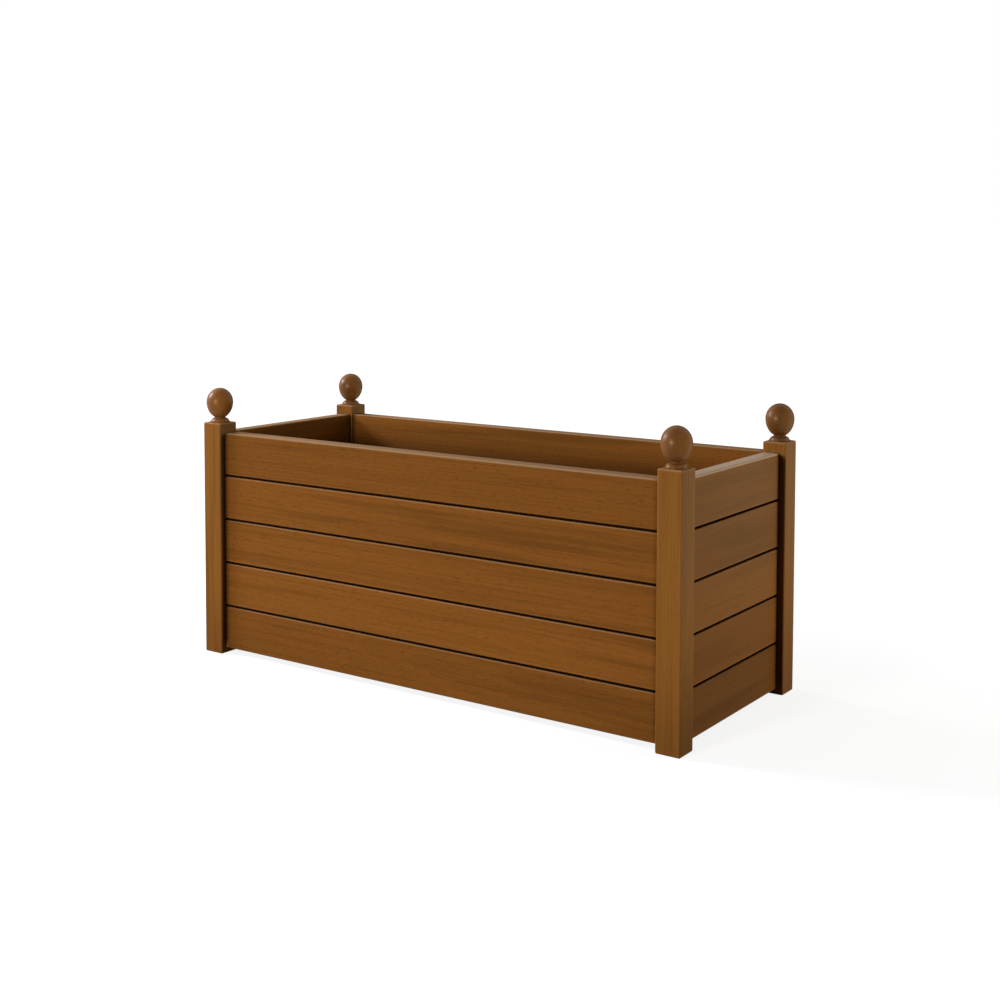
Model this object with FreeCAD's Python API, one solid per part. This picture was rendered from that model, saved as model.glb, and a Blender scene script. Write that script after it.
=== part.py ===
import FreeCAD, Part
import math
import os

# Rectangular timber trough planter with four corner posts and turned finials.
# Millimetres, +Z up, X along the length, front towards -Y.
# Origin: centre of the plan, on the ground under the post feet.

# Overall plan, over the outer faces of the corner posts
LENGTH = 1050.0
DEPTH = 435.0

# Corner posts
POST_SECTION = 45.0
POST_RISE = 18.5
POST_EDGE_RADIUS = 3.0
POST_END_RADIUS = 2.8

# Side boards: five courses on each of the four sides
COURSES = 5
BOARD_FACE = 82.0
BOARD_THICKNESS = 28.0
BOARD_SETBACK = 13.0
SHADOW_GAP = 3.5
FOOT_CLEARANCE = 10.5
ARRIS_RADIUS = 2.0
SHED_RADIUS = 3.0
RIM_RADIUS = 4.0
RIM_INNER_RADIUS = 2.0

# Tongue and groove between one course and the next
EDGE_TONGUE_INSET = 10.0
EDGE_TONGUE_THICKNESS = 8.0
EDGE_TONGUE_REACH = 7.0

# Stub tongues on the board ends, housed in stopped grooves in the posts
END_TONGUE_INSET = 4.0
END_TONGUE_THICKNESS = 10.0
END_TONGUE_LENGTH = 9.0

# Turned finials
FLANGE_DIAMETER = 38.5
FLANGE_HEIGHT = 2.0
FLANGE_EDGE_RADIUS = 0.9
COLLAR_DIAMETER = 35.5
COLLAR_HEIGHT = 6.4
COLLAR_SWELL = 1.7
NECK_DIAMETER = 21.0
BALL_DIAMETER = 51.0
BALL_WAIST_HEIGHT = 39.5
BALL_LOWER_HEIGHT = 32.0
BALL_UPPER_HEIGHT = 27.5

# Double-ended screw between each finial and its post
STUD_DIAMETER = 8.0
STUD_LENGTH = 60.0
STUD_POINT = 6.0
STUD_TIP_DIAMETER = 2.0

# Floor bearers on the inside of the lowest long boards
BEARER_HEIGHT = 30.0
BEARER_THICKNESS = 28.0
BEARER_LIFT = 6.0
BEARER_RADIUS = 1.0

# Floor slats across the bearers, with drainage gaps
SLAT_COUNT = 10
SLAT_THICKNESS = 18.0
DRAIN_GAP = 8.0
SLAT_RADIUS = 1.5

# Countersunk wood screws
SCREW_SHANK = 4.0
SCREW_HEAD = 8.0
SCREW_POINT = 5.0
SCREW_TIP_DIAMETER = 0.6
SLOT_WIDTH = 1.0
SLOT_DEPTH = 1.4
SLOT_LENGTH = 4.6
SLAT_SCREW_LENGTH = 40.0
SLAT_SCREW_SPACING = 50.0
BEARER_SCREW_LENGTH = 45.0

# Clearances
FIT = 0.2
SHOULDER_GAP = 0.2
BACK_LIP_GAP = 0.3
BORE_CLEARANCE = 0.2
BORE_SPARE_DEPTH = 1.0
FLOOR_CLEARANCE = 2.0

# Sizes that follow from the values above
BOARD_PITCH = BOARD_FACE + SHADOW_GAP
RIM_HEIGHT = FOOT_CLEARANCE + COURSES * BOARD_FACE + (COURSES - 1) * SHADOW_GAP
POST_HEIGHT = RIM_HEIGHT + POST_RISE
WALL_INSET = BOARD_SETBACK + BOARD_THICKNESS
CORNER_INSET = max(POST_SECTION, WALL_INSET)
GROOVE_INSET = BOARD_SETBACK + END_TONGUE_INSET
GROOVE_DEPTH = END_TONGUE_LENGTH + FIT
BEARER_BASE = FOOT_CLEARANCE + BEARER_LIFT
FLOOR_BASE = BEARER_BASE + BEARER_HEIGHT
FLOOR_TOP = FLOOR_BASE + SLAT_THICKNESS
BEARER_FACE = DEPTH / 2 - WALL_INSET - BEARER_THICKNESS
BEARER_MIDDLE = BEARER_FACE + BEARER_THICKNESS / 2
FLOOR_LENGTH = LENGTH - 2 * (CORNER_INSET + FLOOR_CLEARANCE)
SLAT_LENGTH = DEPTH - 2 * (WALL_INSET + FLOOR_CLEARANCE)
SLAT_WIDTH = (FLOOR_LENGTH - (SLAT_COUNT - 1) * DRAIN_GAP) / SLAT_COUNT
SLAT_PITCH = SLAT_WIDTH + DRAIN_GAP
FIRST_SLAT = (SLAT_WIDTH - FLOOR_LENGTH) / 2

UP = FreeCAD.Vector(0, 0, 1)
ORIGIN = FreeCAD.Vector(0, 0, 0)

SIDES = [("front", 0), ("right", 90), ("back", 180), ("left", 270)]
CORNERS = [
    ("front_left", -1, -1, 0),
    ("front_right", 1, -1, 90),
    ("back_right", 1, 1, 180),
    ("back_left", -1, 1, 270),
]


def block(low, high):
    """Square-edged block between two opposite corners."""
    size = [high[i] - low[i] for i in range(3)]
    return Part.makeBox(size[0], size[1], size[2], FreeCAD.Vector(*low))


def eased_bar(outline, start, length):
    """Bar along X from a right-angled outline of (y, z, corner radius) points."""
    edges = []
    count = len(outline)
    trimmed = []
    for i in range(count):
        y, z, radius = outline[i]
        here = FreeCAD.Vector(start, y, z)
        before = FreeCAD.Vector(start, outline[i - 1][0], outline[i - 1][1])
        after = FreeCAD.Vector(start, outline[(i + 1) % count][0], outline[(i + 1) % count][1])
        to_before = (before - here).normalize()
        to_after = (after - here).normalize()
        entry = here + to_before * radius
        leave = here + to_after * radius
        middle = here + (to_before + to_after) * (radius * (1 - math.sqrt(0.5)))
        trimmed.append((entry, middle, leave, radius))
    for i in range(count):
        entry, middle, leave, radius = trimmed[i]
        if radius > 0:
            edges.append(Part.Arc(entry, middle, leave).toShape())
        edges.append(Part.makeLine(leave, trimmed[(i + 1) % count][0]))
    return Part.Face(Part.Wire(edges)).extrude(FreeCAD.Vector(length, 0, 0))


def turned(edges):
    """Solid of revolution about Z from the edges of a closed half outline."""
    return Part.Face(Part.Wire(edges)).revolve(ORIGIN, UP, 360)


def lathe_outline(points):
    """Closed half outline with straight sides from (radius, z) points."""
    corners = [FreeCAD.Vector(r, 0, z) for r, z in points]
    return Part.makePolygon(corners + [corners[0]]).Edges


def side_board(course, half_offset, half_span, shoulder):
    """One board of the front side, face towards -Y, with its edge and end tongues."""
    lowest = course == 0
    highest = course == COURSES - 1
    base = FOOT_CLEARANCE + course * BOARD_PITCH
    top = base + BOARD_FACE
    face = -(half_offset - BOARD_SETBACK)
    back = face + BOARD_THICKNESS
    tongue_face = face + EDGE_TONGUE_INSET
    tongue_back = tongue_face + EDGE_TONGUE_THICKNESS
    outline = [(face, base, ARRIS_RADIUS)]
    if not lowest:
        roof = base + EDGE_TONGUE_REACH + FIT
        outline.append((tongue_face - FIT, base, 0))
        outline.append((tongue_face - FIT, roof, 0))
        outline.append((tongue_back + FIT, roof, 0))
        outline.append((tongue_back + FIT, base, 0))
    outline.append((back, base, 0))
    if highest:
        outline.append((back, top, RIM_INNER_RADIUS))
        outline.append((face, top, RIM_RADIUS))
    else:
        lip = top + SHADOW_GAP - BACK_LIP_GAP
        crest = top + SHADOW_GAP + EDGE_TONGUE_REACH
        outline.append((back, lip, 0))
        outline.append((tongue_back, lip, 0))
        outline.append((tongue_back, crest, 0))
        outline.append((tongue_face, crest, 0))
        outline.append((tongue_face, top, 0))
        outline.append((face, top, SHED_RADIUS))
    tip = half_span - POST_SECTION + END_TONGUE_LENGTH
    body = half_span - shoulder - SHOULDER_GAP
    board = eased_bar(outline, -tip, 2 * tip)
    stub_face = face + END_TONGUE_INSET
    stub_back = stub_face + END_TONGUE_THICKNESS
    low = base - BOARD_PITCH
    high = top + BOARD_PITCH
    for start, end in ((-2 * tip, -body), (body, 2 * tip)):
        board = board.cut(block((start, face - BOARD_SETBACK, low), (end, stub_face, high)))
        board = board.cut(block((start, stub_back, low), (end, back + BOARD_SETBACK, high)))
    return board


def corner_post():
    """Post standing on its own axis, with its outer corner towards -X -Y."""
    half = POST_SECTION / 2
    post = block((-half, -half, 0), (half, half, POST_HEIGHT))
    upright = [e for e in post.Edges if abs(e.Vertexes[0].Z - e.Vertexes[1].Z) > half]
    post = post.makeFillet(POST_EDGE_RADIUS, upright)
    ends = []
    for edge in post.Edges:
        level = edge.BoundBox
        if level.ZLength < FIT and (level.ZMax < half or level.ZMin > POST_HEIGHT - half):
            ends.append(edge)
    post = post.makeFillet(POST_END_RADIUS, ends)
    near = GROOVE_INSET - FIT - half
    far = GROOVE_INSET + END_TONGUE_THICKNESS + FIT - half
    floor = half - GROOVE_DEPTH
    low = FOOT_CLEARANCE - FIT
    high = RIM_HEIGHT + FIT
    post = post.cut(block((floor, near, low), (POST_SECTION, far, high)))
    post = post.cut(block((near, floor, low), (far, POST_SECTION, high)))
    depth = STUD_LENGTH / 2 + BORE_SPARE_DEPTH
    bore_radius = (STUD_DIAMETER + BORE_CLEARANCE) / 2
    bore = Part.makeCylinder(bore_radius, depth, FreeCAD.Vector(0, 0, POST_HEIGHT - depth))
    return post.cut(bore)


def finial():
    """Egg-shaped ball on a short neck, a swelling collar and a thin flange, bored from below."""
    ball = BALL_DIAMETER / 2
    neck = NECK_DIAMETER / 2
    flange = FLANGE_DIAMETER / 2
    collar = COLLAR_DIAMETER / 2
    waist = FreeCAD.Vector(ball, 0, BALL_WAIST_HEIGHT)
    neck_level = BALL_WAIST_HEIGHT - BALL_LOWER_HEIGHT * math.sqrt(1 - (neck / ball) ** 2)
    crown = FreeCAD.Vector(0, 0, BALL_WAIST_HEIGHT + BALL_UPPER_HEIGHT)
    foot_end = FreeCAD.Vector(0, 0, BALL_WAIST_HEIGHT - BALL_LOWER_HEIGHT)
    centre = FreeCAD.Vector(0, 0, BALL_WAIST_HEIGHT)
    upper = Part.Ellipse(crown, waist, centre)
    lower = Part.Ellipse(foot_end, waist, centre)
    neck_point = FreeCAD.Vector(neck, 0, neck_level)
    lower_arc = Part.ArcOfEllipse(lower, lower.parameter(neck_point), lower.parameter(waist))
    upper_arc = Part.ArcOfEllipse(upper, upper.parameter(crown), upper.parameter(waist))
    flange_base = FreeCAD.Vector(flange, 0, 0)
    flange_side = FreeCAD.Vector(flange, 0, FLANGE_HEIGHT - FLANGE_EDGE_RADIUS)
    flange_top = FreeCAD.Vector(flange - FLANGE_EDGE_RADIUS, 0, FLANGE_HEIGHT)
    corner_trim = FLANGE_EDGE_RADIUS * (1 - math.sqrt(0.5))
    flange_edge = FreeCAD.Vector(flange - corner_trim, 0, FLANGE_HEIGHT - corner_trim)
    collar_foot = FreeCAD.Vector(collar, 0, FLANGE_HEIGHT)
    collar_head = FreeCAD.Vector(neck, 0, FLANGE_HEIGHT + COLLAR_HEIGHT)
    outward = FreeCAD.Vector(COLLAR_HEIGHT, 0, collar - neck).normalize()
    collar_middle = (collar_foot + collar_head) * 0.5 + outward * COLLAR_SWELL
    edges = [
        Part.makeLine(ORIGIN, flange_base),
        Part.makeLine(flange_base, flange_side),
        Part.Arc(flange_side, flange_edge, flange_top).toShape(),
        Part.makeLine(flange_top, collar_foot),
        Part.Arc(collar_foot, collar_middle, collar_head).toShape(),
        Part.makeLine(collar_head, neck_point),
        lower_arc.toShape(),
        upper_arc.toShape(),
        Part.makeLine(crown, ORIGIN),
    ]
    bore_radius = (STUD_DIAMETER + BORE_CLEARANCE) / 2
    bore = Part.makeCylinder(bore_radius, STUD_LENGTH / 2 + BORE_SPARE_DEPTH)
    return turned(edges).cut(bore)


def stud():
    """Double-ended screw, half above and half below its own origin."""
    half = STUD_LENGTH / 2
    radius = STUD_DIAMETER / 2
    tip = STUD_TIP_DIAMETER / 2
    outline = lathe_outline([
        (0, -half),
        (tip, -half),
        (radius, STUD_POINT - half),
        (radius, half - STUD_POINT),
        (tip, half),
        (0, half),
    ])
    return turned(outline)


def screw(length):
    """Countersunk screw, head face at its own origin and point towards -Z."""
    head = SCREW_HEAD / 2
    shank = SCREW_SHANK / 2
    tip = SCREW_TIP_DIAMETER / 2
    outline = lathe_outline([
        (0, 0),
        (head, 0),
        (shank, shank - head),
        (shank, SCREW_POINT - length),
        (tip, -length),
        (0, -length),
    ])
    body = turned(outline)
    arm = SLOT_LENGTH / 2
    wide = SLOT_WIDTH / 2
    body = body.cut(block((-arm, -wide, -SLOT_DEPTH), (arm, wide, SLOT_DEPTH)))
    return body.cut(block((-wide, -arm, -SLOT_DEPTH), (wide, arm, SLOT_DEPTH)))


def screw_hole(length):
    """Countersunk hole that the screw of the same length sits in."""
    head = (SCREW_HEAD + BORE_CLEARANCE) / 2
    shank = (SCREW_SHANK + BORE_CLEARANCE) / 2
    bottom = -(length + BORE_SPARE_DEPTH)
    outline = lathe_outline([
        (0, 0),
        (head, 0),
        (shank, shank - head),
        (shank, bottom),
        (0, bottom),
    ])
    return turned(outline)


def placed(shape, position, axis=UP, angle=0):
    """Copy of a shape, turned about an axis through its origin, then moved."""
    copy = shape.copy()
    copy.Placement = FreeCAD.Placement(position, FreeCAD.Rotation(axis, angle))
    return copy


def slat_middle(number):
    """X position of the middle of a floor slat."""
    return FIRST_SLAT + number * SLAT_PITCH


def slat_screw_points():
    """Head positions of the floor screws, two at each end of every slat."""
    points = []
    for number in range(SLAT_COUNT):
        for side in (-1, 1):
            for step in (-1, 1):
                x = slat_middle(number) + step * SLAT_SCREW_SPACING / 2
                points.append(FreeCAD.Vector(x, side * BEARER_MIDDLE, FLOOR_TOP))
    return points


def bearer_screw_points(side):
    """Head positions of the screws through one bearer, under every other drainage gap."""
    level = BEARER_BASE + BEARER_HEIGHT / 2
    points = []
    for number in range(0, SLAT_COUNT - 1, 2):
        x = slat_middle(number) + SLAT_PITCH / 2
        points.append(FreeCAD.Vector(x, side * BEARER_FACE, level))
    return points


def bearer(side):
    """Floor bearer along one long side."""
    inner = side * BEARER_FACE
    outer = side * (BEARER_FACE + BEARER_THICKNESS)
    low = min(inner, outer)
    high = max(inner, outer)
    outline = [
        (low, BEARER_BASE, BEARER_RADIUS),
        (high, BEARER_BASE, BEARER_RADIUS),
        (high, FLOOR_BASE, BEARER_RADIUS),
        (low, FLOOR_BASE, BEARER_RADIUS),
    ]
    return eased_bar(outline, -FLOOR_LENGTH / 2, FLOOR_LENGTH)


def slat(number):
    """Floor slat across the trough."""
    half = SLAT_WIDTH / 2
    outline = [
        (-half, FLOOR_BASE, SLAT_RADIUS),
        (half, FLOOR_BASE, SLAT_RADIUS),
        (half, FLOOR_TOP, SLAT_RADIUS),
        (-half, FLOOR_TOP, SLAT_RADIUS),
    ]
    bar = eased_bar(outline, -SLAT_LENGTH / 2, SLAT_LENGTH)
    return placed(bar, FreeCAD.Vector(slat_middle(number), 0, 0), UP, 90)


os.makedirs("parts", exist_ok=True)

# Posts, finials and the screws that join them
post = corner_post()
knob = finial()
studs = []
for corner, x_sign, y_sign, turn in CORNERS:
    x = x_sign * (LENGTH - POST_SECTION) / 2
    y = y_sign * (DEPTH - POST_SECTION) / 2
    top = FreeCAD.Vector(x, y, POST_HEIGHT)
    placed(post, FreeCAD.Vector(x, y, 0), UP, turn).exportStep("parts/corner_post_" + corner + ".step")
    placed(knob, top).exportStep("parts/finial_" + corner + ".step")
    studs.append(placed(stud(), top))
Part.makeCompound(studs).exportStep("parts/finial_studs.step")

# Screw positions shared by the screws and the pieces that they pass through
X_AXIS = FreeCAD.Vector(1, 0, 0)
slat_screw = screw(SLAT_SCREW_LENGTH)
slat_hole = screw_hole(SLAT_SCREW_LENGTH)
bearer_screw = screw(BEARER_SCREW_LENGTH)
bearer_hole = screw_hole(BEARER_SCREW_LENGTH)
floor_points = slat_screw_points()
floor_holes = [placed(slat_hole, p) for p in floor_points]
floor_screws = [placed(slat_screw, p) for p in floor_points]
bearer_screws = []
bearer_holes = {}
for name, side in (("front", -1), ("back", 1)):
    points = bearer_screw_points(side)
    bearer_holes[name] = [placed(bearer_hole, p, X_AXIS, side * 90) for p in points]
    bearer_screws += [placed(bearer_screw, p, X_AXIS, side * 90) for p in points]

# Boards on the four sides, counted from the lowest course
for side, turn in SIDES:
    long_side = side in ("front", "back")
    half_offset = DEPTH / 2 if long_side else LENGTH / 2
    half_span = LENGTH / 2 if long_side else DEPTH / 2
    shoulder = POST_SECTION if long_side else CORNER_INSET
    for course in range(COURSES):
        board = placed(side_board(course, half_offset, half_span, shoulder), ORIGIN, UP, turn)
        if long_side and course == 0:
            board = board.cut(Part.makeCompound(bearer_holes[side]))
        board.exportStep("parts/" + side + "_board_" + str(course + 1) + ".step")

# Bearers and floor
for name, side in (("front", -1), ("back", 1)):
    bar = bearer(side)
    bar = bar.cut(Part.makeCompound(bearer_holes[name]))
    bar = bar.cut(Part.makeCompound(floor_holes))
    bar.exportStep("parts/" + name + "_bearer.step")
for number in range(SLAT_COUNT):
    plank = slat(number).cut(Part.makeCompound(floor_holes))
    plank.exportStep("parts/floor_slat_" + str(number + 1) + ".step")
Part.makeCompound(floor_screws).exportStep("parts/floor_screws.step")
Part.makeCompound(bearer_screws).exportStep("parts/bearer_screws.step")
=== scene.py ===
"""Looks of a timber trough planter: stained timber, steel screws, studio and camera."""

import logging
import math
import random
from dataclasses import dataclass, field, replace
from enum import Enum
from typing import Any, Optional

import bpy
from mathutils import Matrix, Vector

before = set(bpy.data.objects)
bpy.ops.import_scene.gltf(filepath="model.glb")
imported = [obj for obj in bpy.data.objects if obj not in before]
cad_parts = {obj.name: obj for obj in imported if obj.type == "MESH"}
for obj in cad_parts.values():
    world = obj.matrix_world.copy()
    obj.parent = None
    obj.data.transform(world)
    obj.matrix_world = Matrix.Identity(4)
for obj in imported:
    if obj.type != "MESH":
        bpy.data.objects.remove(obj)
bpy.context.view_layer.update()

LOG = logging.getLogger("planter")
MM = 0.001

# Sockets by their place, on the two nodes that have several of the same name.
VALUE, FROM_LOW, FROM_HIGH, TO_LOW, TO_HIGH = range(5)
MIX_AMOUNT, MIX_UNDER, MIX_OVER, MIX_RESULT = 0, 6, 7, 2

# How far apart sticks may lie in the log, and where its pith runs beside a stick, in metres.
LOG_REACH = 9.0
PITH_SPREAD = 0.03
PITH_DROP = 0.05
PITH_DEPTH = (0.05, 0.11)
# Largest turns of a stick against the log, in radians.
LEAN_ACROSS = 0.05
LEAN_THROUGH = 0.03
# How broken the finest steps of every figure are.
FIGURE_ROUGHNESS = 0.55

# Where a mask starts and where it is full: openness, facing and the spread of the fibres.
OPEN_FACE = 0.95
UPWARD_FACE = (0.08, 0.45)
SHADED_FACE = (0.3, 0.8)
TURNED_AWAY = (0.35, 0.75)
FIBRE_SPREAD = (0.3, 0.7)

Colour = tuple[float, float, float, float]


def linear(hex_colour: str) -> Colour:
    """Turn an sRGB hex colour into linear light.

    Args:
        hex_colour: Colour as "#rrggbb".

    Returns:
        Linear red, green, blue and an alpha of one.
    """
    channels: list[float] = []
    for start in (1, 3, 5):
        value = int(hex_colour[start:start + 2], 16) / 255
        channels.append(value / 12.92 if value <= 0.04045 else ((value + 0.055) / 1.055) ** 2.4)
    return (channels[0], channels[1], channels[2], 1.0)


def add_node(
    tree: bpy.types.NodeTree,
    kind: str,
    values: Optional[dict[Any, Any]] = None,
    links: Optional[dict[Any, bpy.types.NodeSocket]] = None,
    **attributes: Any,
) -> bpy.types.Node:
    """Add a node with its settings and links.

    Args:
        tree: Node tree that takes the node.
        kind: Blender's name of the node type.
        values: Input socket, by name or index, to its constant value.
        links: Input socket, by name or index, to the output that feeds it.
        **attributes: Settings of the node itself.

    Returns:
        The new node.
    """
    node = tree.nodes.new(kind)
    for key, value in attributes.items():
        setattr(node, key, value)
    for key, value in (values or {}).items():
        node.inputs[key].default_value = value
    for key, socket in (links or {}).items():
        tree.links.new(socket, node.inputs[key])
    return node


def new_tree(name: str) -> tuple[bpy.types.Material, bpy.types.NodeTree]:
    """Make an empty node material.

    Args:
        name: Name of the material.

    Returns:
        The material and its node tree.
    """
    material = bpy.data.materials.new(name)
    material.use_nodes = True
    material.node_tree.nodes.clear()
    return material, material.node_tree


class Corner(Enum):
    """Corner of the planter, as node names spell it."""

    FRONT_LEFT = "front_left"
    FRONT_RIGHT = "front_right"
    BACK_RIGHT = "back_right"
    BACK_LEFT = "back_left"


class Side(Enum):
    """Side of the planter, as node names spell it."""

    FRONT = "front"
    RIGHT = "right"
    BACK = "back"
    LEFT = "left"


class Grain(Enum):
    """Row axis that the fibres run along, with the order of (along, across, through)."""

    LENGTH = ("X", "Z", "Y")
    DEPTH = ("Y", "Z", "X")
    UPRIGHT = ("Z", "X", "Y")
    CROSSWISE = ("Y", "X", "Z")


class Tone(Enum):
    """How far one stick of timber is paler or darker than the rest of its batch."""

    PALEST = 1.2
    PALE = 1.06
    EVEN = 1.0
    DEEP = 0.91
    DARK = 0.83
    # Used only for the lowest board of the shaded end, as painted shade.
    DARKEST = 0.62


class Mask(Enum):
    """What places a colour on a stick."""

    RINGS = "growth rings"
    FIBRES = "bundles of fibres"
    PORES = "short open pores"
    CLOUDS = "patches that drank more stain"
    # Height, along which painted shade darkens the foot.
    HEIGHT = "height above the ground"
    # Painted cool light, on the shaded end towards the top.
    COOL_LIT_END = "faces of the shaded end, towards the top"
    # Painted highlight along the arrises.
    ARRIS = "rubbed arrises"
    # Painted light and reflection from above.
    UPWARD = "faces towards the sky"
    # Painted shade towards the ground, on the shaded end.
    SHADED_FOOT = "faces of the shaded end, towards the ground"
    # Painted shade in inside corners.
    CORNER_SHADE = "inside corners"


class Blend(Enum):
    """How a mask rises between its limits."""

    SOFT = "SMOOTHSTEP"
    STRAIGHT = "LINEAR"


@dataclass(frozen=True)
class Figure:
    """One figure of the wood: a blotch drawn out along the fibres, and how broken its outline is."""

    length_mm: float
    width_mm: float
    detail: float


@dataclass(frozen=True)
class Layer:
    """A colour that covers what lies under it while its mask goes from low to high."""

    mask: Mask
    low: float
    high: float
    strength: float
    colour: str
    takes_tone: bool = True
    blend: Blend = Blend.SOFT


@dataclass(frozen=True)
class StainedTimber:
    """Planed timber under a translucent brown wood stain, sprayed and left satin.

    The stain keeps the figure visible: soft growth rings, fibre streaks and cloudy patches where it
    soaked in deeper. Painted light and shade lie over it: painted shade in inside corners, a painted
    highlight along the arrises, faces towards the sky made paler by painted light and reflection and
    also duller, painted cool light that greys the shaded end towards the top, and painted shade
    towards the ground on the posts and on the shaded end. A film of stain has an IOR of about 1.5.
    It is matched lower, because the film has sunk into the fibres and shows little veil of gloss.
    """

    name: str
    early_wood: str
    late_wood: str
    streak: str
    # Cloudy patches; the same colour paints shade towards the foot of the posts.
    cloud_and_low_shade: str
    # Painted shade: laid in inside corners, and towards the ground on faces of the shaded end.
    painted_shade: str
    # Painted highlight along the arrises.
    painted_highlight: str
    # Painted light and reflection on faces towards the sky.
    painted_top_light: str
    # Painted cool light, greying faces of the shaded end towards the top.
    painted_cool_light: str = "#78634d"
    ring_mm: float = 6.0
    ring_contrast: float = 0.27
    sway: Figure = Figure(420.0, 70.0, 2.0)
    sway_mm: float = 30.0
    fibres: Figure = Figure(480.0, 4.6, 2.6)
    streak_strength: float = 0.37
    # Real pores are about 0.3 mm wide, too fine for the render, so they are drawn eight times as wide.
    pores: Figure = Figure(13.0, 2.4, 1.0)
    pore_strength: float = 0.48
    clouds: Figure = Figure(520.0, 30.0, 2.5)
    cloud_strength: float = 0.63
    # Painted shade in inside corners: its reach, strength and where it is full, and the heights where it
    # stops under the rim and above the ground.
    corner_reach_mm: float = 20.0
    corner_strength: float = 0.92
    corner_full: float = 0.52
    corner_top_mm: float = 1000.0
    corner_fade_mm: float = 8.0
    ground_clear_mm: tuple[float, float] = (8.0, 32.0)
    # Painted highlight along the arrises: how far in it reaches, and how strong.
    arris_reach_mm: float = 4.0
    arris_strength: float = 0.25
    # Painted light and reflection on faces towards the sky, and how rough those faces get.
    top_light_strength: float = 0.35
    upward_roughness: float = 0.9
    # Painted shade towards the ground, on every face: its height and strength.
    low_shade_height_mm: float = 160.0
    low_shade_strength: float = 0.0
    # Painted shade towards the ground, on faces of the shaded end: its height and strength.
    foot_height_mm: float = 230.0
    foot_strength: float = 0.0
    # Painted cool light on the shaded end: the height where it is full, and how strong.
    cool_light_full_mm: float = 420.0
    cool_light_strength: float = 0.0
    relief_mm: float = 0.08
    fibre_relief: float = 0.5
    roughness: float = 0.42
    roughness_spread: float = 0.10
    ior: float = 1.10
    specular: float = 0.22
    edge_roughness: float = 0.0
    gloss_tint: str = "#ffdeb1"

    def layers(self) -> tuple[Layer, ...]:
        """List the colours over the early wood.

        Returns:
            The layers from the wood outwards.
        """
        return (
            Layer(Mask.RINGS, 0.10, 0.95, self.ring_contrast, self.late_wood),
            Layer(Mask.FIBRES, 0.44, 0.72, self.streak_strength, self.streak),
            Layer(Mask.PORES, 0.54, 0.74, self.pore_strength, self.streak),
            Layer(Mask.CLOUDS, 0.46, 0.74, self.cloud_strength, self.cloud_and_low_shade),
            # Painted shade towards the ground.
            Layer(Mask.HEIGHT, self.low_shade_height_mm * MM, 0.0, self.low_shade_strength, self.cloud_and_low_shade),
            # Painted cool light on the shaded end, towards the top.
            Layer(
                Mask.COOL_LIT_END, 0.0, 1.0, self.cool_light_strength, self.painted_cool_light, blend=Blend.STRAIGHT
            ),
            # Painted highlight along the arrises.
            Layer(Mask.ARRIS, OPEN_FACE, 0.76, self.arris_strength, self.painted_highlight),
            # Painted light and reflection on faces towards the sky.
            Layer(Mask.UPWARD, *UPWARD_FACE, self.top_light_strength, self.painted_top_light),
            # Painted shade towards the ground, on faces of the shaded end.
            Layer(
                Mask.SHADED_FOOT, 0.0, 1.0, self.foot_strength, self.painted_shade,
                takes_tone=False, blend=Blend.STRAIGHT,
            ),
            # Painted shade in inside corners.
            Layer(
                Mask.CORNER_SHADE, 0.0, 1.0, self.corner_strength, self.painted_shade,
                takes_tone=False, blend=Blend.STRAIGHT,
            ),
        )

    def toned(self, hex_colour: str, tone: Tone) -> Colour:
        """Give a colour of the stain in linear light, as pale or dark as one stick takes it."""
        red, green, blue, alpha = linear(hex_colour)
        return (red * tone.value, green * tone.value, blue * tone.value, alpha)

    def draw_figures(
        self, tree: bpy.types.NodeTree, log: bpy.types.NodeSocket
    ) -> dict[str, bpy.types.NodeSocket]:
        """Draw each figure of the wood along the fibres.

        Args:
            tree: Node tree of the stick's material.
            log: Place in the log, with the fibres along its first axis.

        Returns:
            The drawn figures by name.
        """
        drawn: dict[str, bpy.types.NodeSocket] = {}
        for name, figure, output in (
            ("sway", self.sway, "Color"),
            ("fibres", self.fibres, "Fac"),
            ("pores", self.pores, "Fac"),
            ("clouds", self.clouds, "Fac"),
        ):
            length, width = 1 / (figure.length_mm * MM), 1 / (figure.width_mm * MM)
            stretched = add_node(
                tree, "ShaderNodeVectorMath", {1: (length, width, width)}, {0: log}, operation="MULTIPLY"
            ).outputs[0]
            drawn[name] = add_node(
                tree, "ShaderNodeTexNoise",
                {"Scale": 1.0, "Detail": figure.detail, "Roughness": FIGURE_ROUGHNESS},
                {"Vector": stretched},
            ).outputs[output]
        return drawn

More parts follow.
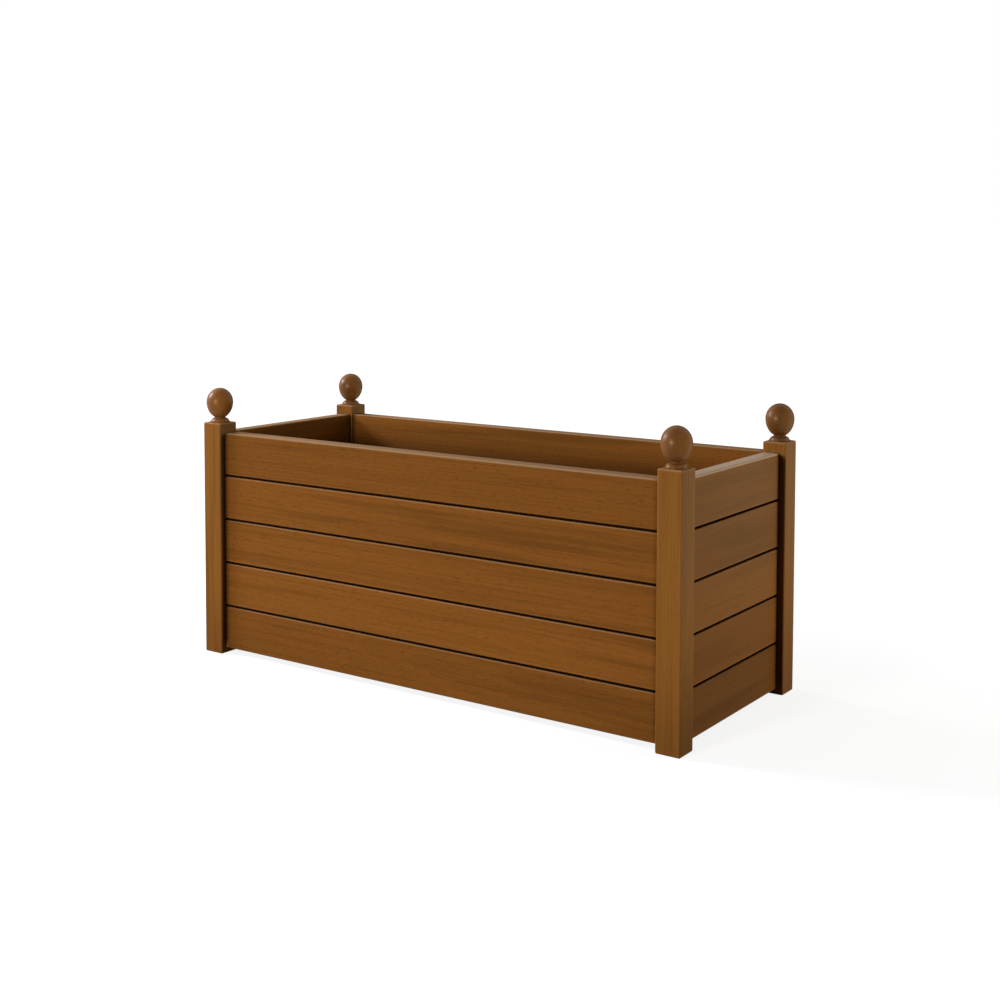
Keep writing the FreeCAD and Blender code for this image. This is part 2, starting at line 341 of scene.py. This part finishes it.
    def draw_rings(
        self,
        tree: bpy.types.NodeTree,
        sawn: bpy.types.NodeSocket,
        sway: bpy.types.NodeSocket,
        cut: random.Random,
    ) -> bpy.types.NodeSocket:
        """Draw the growth rings round a pith that runs beside the stick.

        Args:
            tree: Node tree of the stick's material.
            sawn: Place on the stick, with the fibres along its first axis.
            sway: Colour noise that bends the rings.
            cut: Draws of this stick.

        Returns:
            The rings, from early to late wood.
        """
        drift = add_node(
            tree, "ShaderNodeVectorMath", {1: (0.5, 0.5, 0.5)}, {0: sway}, operation="SUBTRACT"
        ).outputs[0]
        bend = self.sway_mm * MM
        bent = add_node(
            tree, "ShaderNodeVectorMath", {1: (0.0, bend, bend)}, {0: drift}, operation="MULTIPLY"
        ).outputs[0]
        pith = (
            cut.uniform(-PITH_SPREAD, PITH_SPREAD),
            cut.uniform(-PITH_SPREAD, PITH_SPREAD) - PITH_DROP,
            cut.uniform(*PITH_DEPTH),
        )
        turn = (
            0.0,
            cut.uniform(-LEAN_ACROSS, LEAN_ACROSS),
            cut.uniform(-LEAN_THROUGH, LEAN_THROUGH),
        )
        leaning = add_node(
            tree, "ShaderNodeMapping", {"Location": pith, "Rotation": turn}, {"Vector": sawn}
        ).outputs[0]
        swayed = add_node(
            tree, "ShaderNodeVectorMath", links={0: leaning, 1: bent}, operation="ADD"
        ).outputs[0]
        # The node draws one ring in pi / 10 at a scale of one.
        scale = math.pi / 10 / (self.ring_mm * MM)
        return add_node(
            tree, "ShaderNodeTexWave",
            {"Scale": scale, "Distortion": 1.2, "Detail": 2.0, "Detail Scale": 0.6},
            {"Vector": swayed}, wave_type="RINGS", rings_direction="X", wave_profile="SAW",
        ).outputs["Fac"]

    def find_places(
        self, tree: bpy.types.NodeTree, height: bpy.types.NodeSocket
    ) -> dict[Mask, bpy.types.NodeSocket]:
        """Find the arrises, the inside corners and the faces where painted light and shade are laid.

        Args:
            tree: Node tree of the stick's material.
            height: Height above the ground.

        Returns:
            The value of each of these masks.
        """
        corner = add_node(
            tree, "ShaderNodeAmbientOcclusion", {"Distance": self.corner_reach_mm * MM}, samples=8
        ).outputs["AO"]
        arris = add_node(
            tree, "ShaderNodeAmbientOcclusion", {"Distance": self.arris_reach_mm * MM}, samples=6,
            inside=True, only_local=True,
        ).outputs["AO"]
        normal = add_node(tree, "ShaderNodeNewGeometry").outputs["Normal"]
        facing = add_node(tree, "ShaderNodeSeparateXYZ", links={0: normal}).outputs
        places = {Mask.ARRIS: arris, Mask.UPWARD: facing["Z"]}
        top, fade = self.corner_top_mm, self.corner_fade_mm
        low, clear = self.ground_clear_mm
        for mask, limits in (
            # Painted shade in inside corners, stopped under the rim and near the ground.
            (Mask.CORNER_SHADE, (
                (corner, OPEN_FACE, self.corner_full),
                (height, top * MM, (top - fade) * MM),
                (height, low * MM, clear * MM),
            )),
            # Painted shade towards the ground, on faces of the shaded end.
            (Mask.SHADED_FOOT, (
                (height, self.foot_height_mm * MM, 0.0),
                (facing["X"], *SHADED_FACE),
            )),
            # Painted cool light on the shaded end, towards the top.
            (Mask.COOL_LIT_END, (
                (height, 0.0, self.cool_light_full_mm * MM),
                (facing["X"], *SHADED_FACE),
            )),
        ):
            for source, start, end in limits:
                limit = add_node(
                    tree, "ShaderNodeMapRange",
                    {FROM_LOW: start, FROM_HIGH: end, TO_LOW: 0.0, TO_HIGH: 1.0}, {VALUE: source},
                    interpolation_type=Blend.SOFT.value,
                ).outputs[0]
                if mask in places:
                    limit = add_node(
                        tree, "ShaderNodeMath", links={0: places[mask], 1: limit}, operation="MULTIPLY"
                    ).outputs[0]
                places[mask] = limit
        return places

    def masks(
        self, tree: bpy.types.NodeTree, grain: Grain, seed: int
    ) -> dict[Mask, bpy.types.NodeSocket]:
        """Cut one stick from the log and make all its masks.

        Args:
            tree: Node tree of the stick's material.
            grain: Direction of the fibres.
            seed: Chooses where in the log the stick was cut.

        Returns:
            The value of each mask.
        """
        cut = random.Random(seed)
        along, across, through = grain.value
        place = add_node(tree, "ShaderNodeTexCoord").outputs["Object"]
        axes = add_node(tree, "ShaderNodeSeparateXYZ", links={0: place}).outputs
        sawn = add_node(
            tree, "ShaderNodeCombineXYZ", links={0: axes[along], 1: axes[across], 2: axes[through]}
        ).outputs[0]
        offset = [cut.uniform(-LOG_REACH, LOG_REACH) for _ in range(3)]
        log = add_node(
            tree, "ShaderNodeVectorMath", {1: offset}, {0: sawn}, operation="ADD"
        ).outputs[0]
        figures = self.draw_figures(tree, log)
        return {
            Mask.RINGS: self.draw_rings(tree, sawn, figures["sway"], cut),
            Mask.FIBRES: figures["fibres"],
            Mask.PORES: figures["pores"],
            Mask.CLOUDS: figures["clouds"],
            Mask.HEIGHT: axes["Z"],
            **self.find_places(tree, axes["Z"]),
        }

    def lay_colours(
        self, tree: bpy.types.NodeTree, masks: dict[Mask, bpy.types.NodeSocket], tone: Tone
    ) -> bpy.types.NodeSocket:
        """Lay every colour over the early wood.

        Args:
            tree: Node tree of the stick's material.
            masks: The stick's masks.
            tone: How pale or dark this stick is.

        Returns:
            The finished colour.
        """
        colour: Optional[bpy.types.NodeSocket] = None
        for layer in self.layers():
            amount = add_node(
                tree, "ShaderNodeMapRange",
                {FROM_LOW: layer.low, FROM_HIGH: layer.high, TO_LOW: 0.0, TO_HIGH: layer.strength},
                {VALUE: masks[layer.mask]}, interpolation_type=layer.blend.value,
            ).outputs[0]
            over = self.toned(layer.colour, tone) if layer.takes_tone else linear(layer.colour)
            values, links = {MIX_OVER: over}, {MIX_AMOUNT: amount}
            if colour is None:
                values[MIX_UNDER] = self.toned(self.early_wood, tone)
            else:
                links[MIX_UNDER] = colour
            colour = add_node(
                tree, "ShaderNodeMix", values, links, data_type="RGBA"
            ).outputs[MIX_RESULT]
        return colour

    def vary_roughness(
        self, tree: bpy.types.NodeTree, masks: dict[Mask, bpy.types.NodeSocket]
    ) -> bpy.types.NodeSocket:
        """Vary the gloss with the fibres, and dull it on sky-facing and turned-away faces.

        Args:
            tree: Node tree of the stick's material.
            masks: The stick's masks.

        Returns:
            The finished roughness.
        """
        start, end = FIBRE_SPREAD
        spread = self.roughness_spread / 2
        rough = add_node(
            tree, "ShaderNodeMapRange",
            {
                FROM_LOW: start, FROM_HIGH: end,
                TO_LOW: self.roughness - spread, TO_HIGH: self.roughness + spread,
            },
            {VALUE: masks[Mask.FIBRES]},
        ).outputs[0]
        turned_away = add_node(tree, "ShaderNodeLayerWeight", {"Blend": 0.5}).outputs["Facing"]
        for source, (start, end), roughest in (
            (masks[Mask.UPWARD], UPWARD_FACE, self.upward_roughness),
            (turned_away, TURNED_AWAY, self.edge_roughness),
        ):
            duller = add_node(
                tree, "ShaderNodeMapRange",
                {FROM_LOW: start, FROM_HIGH: end, TO_LOW: 0.0, TO_HIGH: roughest}, {VALUE: source},
                interpolation_type=Blend.SOFT.value,
            ).outputs[0]
            rough = add_node(
                tree, "ShaderNodeMath", links={0: rough, 1: duller}, operation="MAXIMUM"
            ).outputs[0]
        return rough

    def material(self, piece: str, grain: Grain, tone: Tone, seed: int) -> bpy.types.Material:
        """Make the finish for one stick of timber.

        Args:
            piece: Name of the piece that wears it.
            grain: Direction of the fibres.
            tone: How pale or dark this stick is.
            seed: Chooses where in the log the stick was cut.

        Returns:
            The node material.
        """
        material, tree = new_tree(f"{self.name}_{piece}")
        masks = self.masks(tree, grain, seed)
        colour = self.lay_colours(tree, masks, tone)
        rough = self.vary_roughness(tree, masks)
        relief = add_node(
            tree, "ShaderNodeMath", {1: self.fibre_relief},
            {0: masks[Mask.FIBRES], 2: masks[Mask.PORES]}, operation="MULTIPLY_ADD",
        ).outputs[0]
        bump = add_node(
            tree, "ShaderNodeBump", {"Strength": 0.6, "Distance": self.relief_mm * MM},
            {"Height": relief}, invert=True,
        ).outputs[0]
        surface = add_node(
            tree, "ShaderNodeBsdfPrincipled",
            {
                "IOR": self.ior,
                "Specular IOR Level": self.specular,
                "Specular Tint": linear(self.gloss_tint),
            },
            {"Base Color": colour, "Roughness": rough, "Normal": bump},
        )
        add_node(tree, "ShaderNodeOutputMaterial", links={"Surface": surface.outputs[0]})
        return material


@dataclass(frozen=True)
class ZincPlatedSteel:
    """Cold-headed steel with a bright zinc plating: pale grey metal with a faint cloudy spangle."""

    name: str = "zinc_plated_steel"
    bright: str = "#c4c3bb"
    dull: str = "#9a9a94"
    spangle_mm: float = 2.5
    roughness: float = 0.36

    def material(self) -> bpy.types.Material:
        """Make the plating.

        Returns:
            The node material.
        """
        material, tree = new_tree(self.name)
        place = add_node(tree, "ShaderNodeTexCoord").outputs["Object"]
        spangle = add_node(
            tree, "ShaderNodeTexNoise", {"Scale": 1 / (self.spangle_mm * MM), "Detail": 2.0},
            {"Vector": place},
        ).outputs["Fac"]
        colour = add_node(
            tree, "ShaderNodeMix", {MIX_UNDER: linear(self.bright), MIX_OVER: linear(self.dull)},
            {MIX_AMOUNT: spangle}, data_type="RGBA",
        ).outputs[MIX_RESULT]
        surface = add_node(
            tree, "ShaderNodeBsdfPrincipled", {"Metallic": 1.0, "Roughness": self.roughness},
            {"Base Color": colour},
        )
        add_node(tree, "ShaderNodeOutputMaterial", links={"Surface": surface.outputs[0]})
        return material


def seen_directly(tree: bpy.types.NodeTree) -> bpy.types.NodeSocket:
    """Tell rays that show the background from those that light the object.

    Args:
        tree: Node tree of the floor or the surroundings.

    Returns:
        One for rays of the camera, of gloss and of glass, else zero.
    """
    path = add_node(tree, "ShaderNodeLightPath").outputs
    seen = path["Is Camera Ray"]
    for kind in ("Is Glossy Ray", "Is Transmission Ray"):
        seen = add_node(
            tree, "ShaderNodeMath", links={0: seen, 1: path[kind]}, operation="MAXIMUM"
        ).outputs[0]
    return seen


@dataclass(frozen=True)
class MattPaper:
    """Uncoated white paper: no gloss, and a little short of white by the object, so that shade shows."""

    name: str = "matt_white_paper"
    white: str = "#ffffff"
    bounce: str = "#646464"
    shade: str = "#959595"
    glow: float = 0.84
    glow_reach: tuple[float, float] = (0.9, 2.6)

    def material(self) -> bpy.types.Material:
        """Make the paper, which glows to the camera and only bounces light to the object.

        Returns:
            The node material.
        """
        material, tree = new_tree(self.name)
        seen = seen_directly(tree)
        shade = add_node(tree, "ShaderNodeBsdfDiffuse", {"Color": linear(self.shade)}).outputs[0]
        place = add_node(tree, "ShaderNodeTexCoord").outputs["Object"]
        distance = add_node(
            tree, "ShaderNodeVectorMath", links={0: place}, operation="LENGTH"
        ).outputs["Value"]
        near, far = self.glow_reach
        strength = add_node(
            tree, "ShaderNodeMapRange",
            {FROM_LOW: near, FROM_HIGH: far, TO_LOW: self.glow, TO_HIGH: 1.0}, {VALUE: distance},
        ).outputs[0]
        glow = add_node(
            tree, "ShaderNodeEmission", {"Color": linear(self.white)}, {"Strength": strength}
        ).outputs[0]
        sheet = add_node(tree, "ShaderNodeAddShader", links={0: shade, 1: glow}).outputs[0]
        bounce = add_node(tree, "ShaderNodeBsdfDiffuse", {"Color": linear(self.bounce)}).outputs[0]
        surface = add_node(
            tree, "ShaderNodeMixShader", links={0: seen, 1: bounce, 2: sheet}
        ).outputs[0]
        add_node(tree, "ShaderNodeOutputMaterial", links={"Surface": surface})
        return material


# Planed iroko under a walnut stain: warm brown, fine streaks and pores along the board, a soft satin.
STAIN = StainedTimber(
    name="walnut_stained_iroko",
    early_wood="#8a5421",
    late_wood="#774a1c",
    streak="#633d16",
    cloud_and_low_shade="#623c16",
    # The next three colours are painted: shade in inside corners, a highlight along arrises, and light
    # and reflection on faces towards the sky.
    painted_shade="#190600",
    painted_highlight="#a87848",
    painted_top_light="#b08e68",
)
# Square-planed posts: a little paler, with narrow upright streaks. Painted shade darkens them
# towards the foot, and painted cool light greys their faces on the shaded end towards the top.
POST_STAIN = replace(
    STAIN,
    name="walnut_stained_iroko_post",
    early_wood="#8e5b26",
    late_wood="#7c4f1f",
    streak="#6a4219",
    cloud_and_low_shade="#694119",
    corner_top_mm=434.0,
    arris_strength=0.15,
    clouds=Figure(380.0, 13.0, 2.5),
    fibres=Figure(480.0, 3.2, 2.6),
    streak_strength=0.32,
    pore_strength=0.24,
    low_shade_strength=0.45,
    foot_strength=0.36,
    cool_light_strength=0.30,
)
# The post in most shade: its painted shade towards the foot reaches higher, and the painted shade
# beside the boards is weaker.
SHADED_POST_STAIN = replace(
    POST_STAIN,
    name="walnut_stained_iroko_shaded_post",
    corner_full=0.72,
    corner_strength=0.5,
    low_shade_height_mm=260.0,
    low_shade_strength=0.8,
    foot_strength=0.0,
)
# Boards of the shaded end: plainer figure, painted cool light that greys them towards the top,
# and little painted light on edges that face the sky.
SHADED_STAIN = replace(
    STAIN,
    name="walnut_stained_iroko_shaded",
    ring_contrast=0.10,
    streak_strength=0.12,
    pore_strength=0.32,
    clouds=Figure(520.0, 40.0, 2.0),
    cloud_strength=0.40,
    cool_light_strength=0.30,
    top_light_strength=0.08,
)
# Top boards: the rim takes more painted light and reflection from above, and stays dull.
RIM_STAIN = replace(STAIN, name="walnut_stained_iroko_rim", top_light_strength=0.65)
# Top board of the shaded end: the palest painted light on its rim, not dulled, so it keeps its gloss.
END_RIM_STAIN = replace(
    SHADED_STAIN,
    name="walnut_stained_iroko_painted_light_rim",
    painted_top_light="#c8a888",
    top_light_strength=0.85,
    upward_roughness=0.0,
)
# Turned and sanded iroko: smoother and glossier, so each ball has a soft round highlight.
TURNED_STAIN = StainedTimber(
    name="walnut_stained_turned_iroko",
    early_wood="#7b4c1f",
    late_wood="#6d4219",
    streak="#5b3614",
    cloud_and_low_shade="#5f3a16",
    # Painted shade, in the corners of the collar.
    painted_shade="#2a1606",
    painted_highlight="#8c6238",
    painted_top_light="#8c6238",
    corner_reach_mm=5.0,
    corner_strength=0.5,
    arris_strength=0.0,
    top_light_strength=0.0,
    upward_roughness=0.0,
    pore_strength=0.12,
    relief_mm=0.008,
    roughness=0.37,
    roughness_spread=0.04,
    ior=1.36,
    specular=0.46,
    edge_roughness=0.9,
)
# Sawn pine dipped in preservative: yellower, closer rings, nearly matt.
FLOOR_STAIN = StainedTimber(
    name="dip_treated_pine",
    early_wood="#7d5a31",
    late_wood="#6a4823",
    streak="#573a1b",
    cloud_and_low_shade="#5b4122",
    # The next three colours are painted: shade in inside corners, a highlight along arrises, and light
    # and reflection on faces towards the sky.
    painted_shade="#1a0f05",
    painted_highlight="#8f6a3e",
    painted_top_light="#8f6a3e",
    top_light_strength=0.2,
    ring_mm=4.0,
    roughness=0.58,
)


def dress(node: str, material: bpy.types.Material) -> None:
    """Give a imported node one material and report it.

    Args:
        node: Name of the node.
        material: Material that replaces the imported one.
    """
    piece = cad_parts[node]
    piece.data.materials.clear()
    piece.data.materials.append(material)
    LOG.info("%s wears %s", node, material.name)


@dataclass
class CornerPosts:
    """Four square posts, fibres upright."""

    finish: StainedTimber = POST_STAIN
    corner_finishes: dict[Corner, StainedTimber] = field(default_factory=lambda: {
        Corner.BACK_RIGHT: SHADED_POST_STAIN,
    })
    tones: dict[Corner, Tone] = field(default_factory=lambda: {
        Corner.FRONT_LEFT: Tone.PALE,
        Corner.FRONT_RIGHT: Tone.PALE,
        Corner.BACK_RIGHT: Tone.EVEN,
        Corner.BACK_LEFT: Tone.DEEP,
    })
    first_cut: int = 11

    def dress(self) -> None:
        """Stain each post."""
        for seed, (corner, tone) in enumerate(self.tones.items(), start=self.first_cut):
            node = f"corner_post_{corner.value}"
            finish = self.corner_finishes.get(corner, self.finish)
            dress(node, finish.material(node, Grain.UPRIGHT, tone, seed))


@dataclass
class Finials:
    """Four turned ball finials, fibres upright."""

    finish: StainedTimber = TURNED_STAIN
    tones: dict[Corner, Tone] = field(default_factory=lambda: {
        Corner.FRONT_LEFT: Tone.PALEST,
        Corner.FRONT_RIGHT: Tone.EVEN,
        Corner.BACK_RIGHT: Tone.DARK,
        Corner.BACK_LEFT: Tone.DARK,
    })
    first_cut: int = 31

    def dress(self) -> None:
        """Stain each finial."""
        for seed, (corner, tone) in enumerate(self.tones.items(), start=self.first_cut):
            node = f"finial_{corner.value}"
            dress(node, self.finish.material(node, Grain.UPRIGHT, tone, seed))


@dataclass
class BoardSides:
    """Five boards on each side, counted from the lowest, fibres along each board."""

    courses: int = 5
    finishes: dict[Side, StainedTimber] = field(default_factory=lambda: {
        Side.FRONT: STAIN,
        Side.RIGHT: SHADED_STAIN,
        Side.BACK: STAIN,
        Side.LEFT: STAIN,
    })
    rim_finishes: dict[Side, StainedTimber] = field(default_factory=lambda: {
        Side.FRONT: RIM_STAIN,
        Side.RIGHT: END_RIM_STAIN,
        Side.BACK: RIM_STAIN,
        Side.LEFT: RIM_STAIN,
    })
    grains: dict[Side, Grain] = field(default_factory=lambda: {
        Side.FRONT: Grain.LENGTH,
        Side.RIGHT: Grain.DEPTH,
        Side.BACK: Grain.LENGTH,
        Side.LEFT: Grain.DEPTH,
    })
    tones: dict[Side, tuple[Tone, ...]] = field(default_factory=lambda: {
        Side.FRONT: (Tone.DEEP, Tone.PALE, Tone.EVEN, Tone.EVEN, Tone.DEEP),
        # The two lowest boards of the shaded end are darker: painted shade towards the ground.
        Side.RIGHT: (Tone.DARKEST, Tone.DARK, Tone.EVEN, Tone.DEEP, Tone.EVEN),
        Side.BACK: (Tone.DEEP, Tone.EVEN, Tone.PALE, Tone.EVEN, Tone.DEEP),
        Side.LEFT: (Tone.DARK, Tone.DEEP, Tone.EVEN, Tone.DEEP, Tone.DARK),
    })
    # Chosen so that the cloudy patches fall about where the real boards have them.
    cuts: dict[Side, tuple[int, ...]] = field(default_factory=lambda: {
        Side.FRONT: (101, 382, 143, 184, 385),
        Side.RIGHT: (386, 107, 388, 109, 310),
        Side.BACK: (111, 112, 113, 114, 115),
        Side.LEFT: (116, 117, 118, 119, 120),
    })

    def dress(self) -> None:
        """Stain each board."""
        for side, grain in self.grains.items():
            for course, (tone, seed) in enumerate(zip(self.tones[side], self.cuts[side]), start=1):
                node = f"{side.value}_board_{course}"
                finish = self.rim_finishes[side] if course == self.courses else self.finishes[side]
                dress(node, finish.material(node, grain, tone, seed))


@dataclass
class Floor:
    """Bearers and slats inside the planter."""

    finish: StainedTimber = FLOOR_STAIN
    bearers: tuple[str, ...] = ("front_bearer", "back_bearer")
    slats: int = 10
    tones: tuple[Tone, ...] = (Tone.EVEN, Tone.PALE, Tone.DEEP)
    first_bearer_cut: int = 201
    slat_cuts_after: int = 210

    def dress(self) -> None:
        """Treat each bearer and slat."""
        for seed, node in enumerate(self.bearers, start=self.first_bearer_cut):
            dress(node, self.finish.material(node, Grain.LENGTH, Tone.EVEN, seed))
        for number in range(1, self.slats + 1):
            node = f"floor_slat_{number}"
            tone = self.tones[number % len(self.tones)]
            seed = self.slat_cuts_after + number
            dress(node, self.finish.material(node, Grain.CROSSWISE, tone, seed))


@dataclass
class Fasteners:
    """Screws of the floor and the finials."""

    finish: ZincPlatedSteel = ZincPlatedSteel()
    nodes: tuple[str, ...] = ("finial_studs", "floor_screws", "bearer_screws")

    def dress(self) -> None:
        """Plate every group of screws."""
        plating = self.finish.material()
        for node in self.nodes:
            dress(node, plating)


@dataclass(frozen=True)
class SoftBox:
    """A square soft light that faces a point of the object, sizes in metres."""

    name: str
    place: tuple[float, float, float]
    target: tuple[float, float, float]
    side: float
    watts: float
    mirrored: bool = True
    tint: str = "#ffffff"

    def build(self) -> None:
        """Make the light and turn it to its target."""
        lamp = bpy.data.lights.new(self.name, "AREA")
        lamp.shape = "SQUARE"
        lamp.size = self.side
        lamp.energy = self.watts
        lamp.color = linear(self.tint)[:3]
        light = bpy.data.objects.new(self.name, lamp)
        bpy.context.scene.collection.objects.link(light)
        light.visible_glossy = self.mirrored
        light.location = self.place
        aim = Vector(self.target) - Vector(self.place)
        light.rotation_euler = aim.to_track_quat("-Z", "Y").to_euler()
        LOG.info("light %s", self.name)


@dataclass
class Studio:
    """Pale floor, white surroundings, soft lights and the camera, in metres and degrees."""

    paper: MattPaper = MattPaper()
    floor_half: float = 30.0
    surround: str = "#ffffff"
    fill: float = 0.12
    azimuth: float = 34.873
    elevation: float = 3.348
    roll: float = 0.1435
    place: tuple[float, float, float] = (1.5552, -2.1888, 0.7992)
    sensor_mm: float = 36.0
    lens_mm: float = 51.936
    shift: tuple[float, float] = (0.0, -0.17)
    lights: tuple[SoftBox, ...] = (
        SoftBox("front_key", (-0.1, -3.2, 0.78), (0.0, 0.0, 0.3), 0.5, 61.5),
        SoftBox("left_key", (-2.7, -0.9, 1.75), (0.0, 0.0, 0.3), 0.75, 94.0, tint="#d4deff"),
        SoftBox(
            "right_fill", (2.6, 0.9, 0.45), (0.5, 0.0, 0.3), 0.9, 36.5, mirrored=False, tint="#fbfff5"
        ),
        SoftBox("overhead", (-1.5, 0.3, 1.3), (0.0, 0.0, 0.4), 0.8, 17.0, mirrored=False),
    )

    def build_floor(self) -> None:
        """Lay the floor: white to the camera, and darker where the object keeps light off it."""
        half = self.floor_half
        mesh = bpy.data.meshes.new("studio_floor")
        corners = [(-half, -half, 0), (half, -half, 0), (half, half, 0), (-half, half, 0)]
        mesh.from_pydata(corners, [], [(0, 1, 2, 3)])
        ground = bpy.data.objects.new("studio_floor", mesh)
        bpy.context.scene.collection.objects.link(ground)
        mesh.materials.append(self.paper.material())
        LOG.info("floor laid")

    def build_world(self) -> None:
        """Surround the object with white that lights it at a plain level."""
        world = bpy.data.worlds.new("white_surround")
        bpy.context.scene.world = world
        world.use_nodes = True
        tree = world.node_tree
        tree.nodes.clear()
        strength = add_node(
            tree, "ShaderNodeMapRange",
            {FROM_LOW: 0.0, FROM_HIGH: 1.0, TO_LOW: self.fill, TO_HIGH: 1.0},
            {VALUE: seen_directly(tree)},
        ).outputs[0]
        light = add_node(
            tree, "ShaderNodeBackground", {"Color": linear(self.surround)}, {"Strength": strength}
        ).outputs[0]
        add_node(tree, "ShaderNodeOutputWorld", links={"Surface": light})

    def build_camera(self) -> None:
        """Stand the camera where the photograph was taken from."""
        lens = bpy.data.cameras.new("camera")
        lens.sensor_width = self.sensor_mm
        lens.lens = self.lens_mm
        lens.shift_x, lens.shift_y = self.shift
        camera = bpy.data.objects.new("camera", lens)
        bpy.context.scene.collection.objects.link(camera)
        turn = Matrix.Rotation(math.radians(self.azimuth), 4, "Z")
        tilt = Matrix.Rotation(math.radians(90 - self.elevation), 4, "X")
        lean = Matrix.Rotation(math.radians(self.roll), 4, "Z")
        camera.matrix_world = Matrix.Translation(self.place) @ turn @ tilt @ lean
        bpy.context.scene.camera = camera

    def build(self) -> None:
        """Set up the whole studio."""
        bpy.context.scene.view_settings.view_transform = "Standard"
        self.build_floor()
        self.build_world()
        for light in self.lights:
            light.build()
        self.build_camera()


def main() -> None:
    """Dress every sub-assembly and set up the studio."""
    logging.basicConfig(level=logging.INFO, format="%(name)s: %(message)s")
    for part in (CornerPosts(), BoardSides(), Finials(), Floor(), Fasteners()):
        part.dress()
    Studio().build()


if __name__ == "__main__":
    main()
